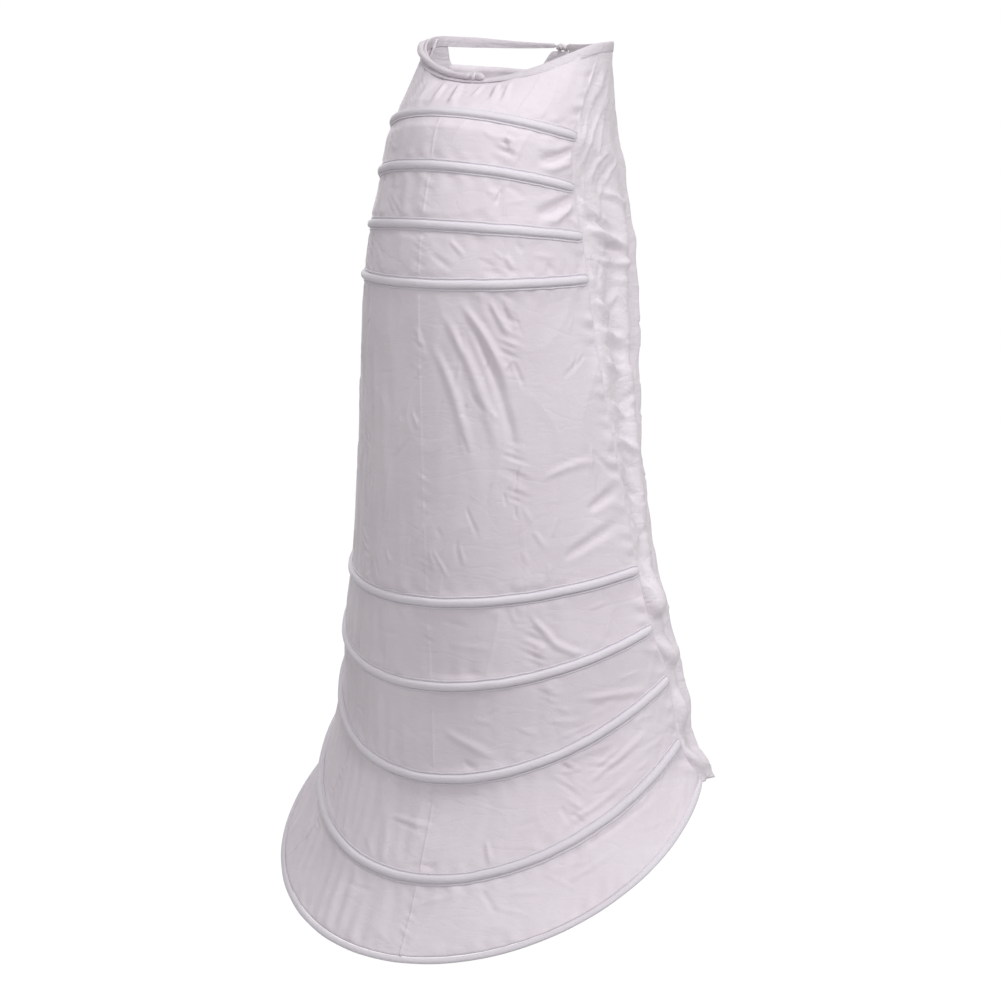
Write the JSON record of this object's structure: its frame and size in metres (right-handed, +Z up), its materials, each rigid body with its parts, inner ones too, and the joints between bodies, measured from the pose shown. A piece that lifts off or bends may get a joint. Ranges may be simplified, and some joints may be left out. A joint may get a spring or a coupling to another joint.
{
  "type": "boned bustle petticoat",
  "caption": "Cotton bustle petticoat with half hoops over the back, a tilted hem hoop, a soft front and a tied waistband.",
  "frame": {"origin": "centre of the waist, at the height of the waist's sides", "axes": "+Z up, the wearer faces -Y, the train is on +Y, the wearer's left is on +X"},
  "size_m": [0.5158, 0.4172, 1.0361],
  "materials": {
    "cotton": "plain woven cotton",
    "soft_cotton": "plain woven cotton",
    "band_cotton": "folded cotton",
    "casing_cotton": "stitched cotton strip",
    "tape": "woven cotton tape",
    "spring_steel": "flat spring steel",
    "tip_plastic": "dipped plastic"
  },
  "bodies": {
    "root": {"back_gore_left": "cotton", "side_gore_left": "cotton", "back_gore_right": "cotton", "side_gore_right": "cotton", "front_panel": "soft_cotton", "front_hem_facing": "soft_cotton", "waistband": "band_cotton", "waist_drawstring": "tape", "front_knot": "tape", "back_waist_roll": "band_cotton", "casing_1": "casing_cotton", "bone_1": "spring_steel", "bone_tips_1": "tip_plastic", "casing_2": "casing_cotton", "bone_2": "spring_steel", "bone_tips_2": "tip_plastic", "casing_3": "casing_cotton", "bone_3": "spring_steel", "bone_tips_3": "tip_plastic", "casing_4": "casing_cotton", "bone_4": "spring_steel", "bone_tips_4": "tip_plastic", "casing_5": "casing_cotton", "bone_5": "spring_steel", "bone_tips_5": "tip_plastic", "casing_6": "casing_cotton", "bone_6": "spring_steel", "bone_tips_6": "tip_plastic", "casing_7": "casing_cotton", "bone_7": "spring_steel", "bone_tips_7": "tip_plastic", "casing_8": "casing_cotton", "bone_8": "spring_steel", "bone_tips_8": "tip_plastic", "casing_hem": "casing_cotton", "bone_hem": "spring_steel", "bone_tips_hem": "tip_plastic", "tie_tape_1": "tape", "tie_tape_2": "tape", "tie_tape_3": "tape", "tie_tape_4": "tape", "tie_tape_5": "tape", "tie_tape_6": "tape", "tie_tape_7": "tape", "tie_tape_8": "tape"}
  },
  "joints": []
}
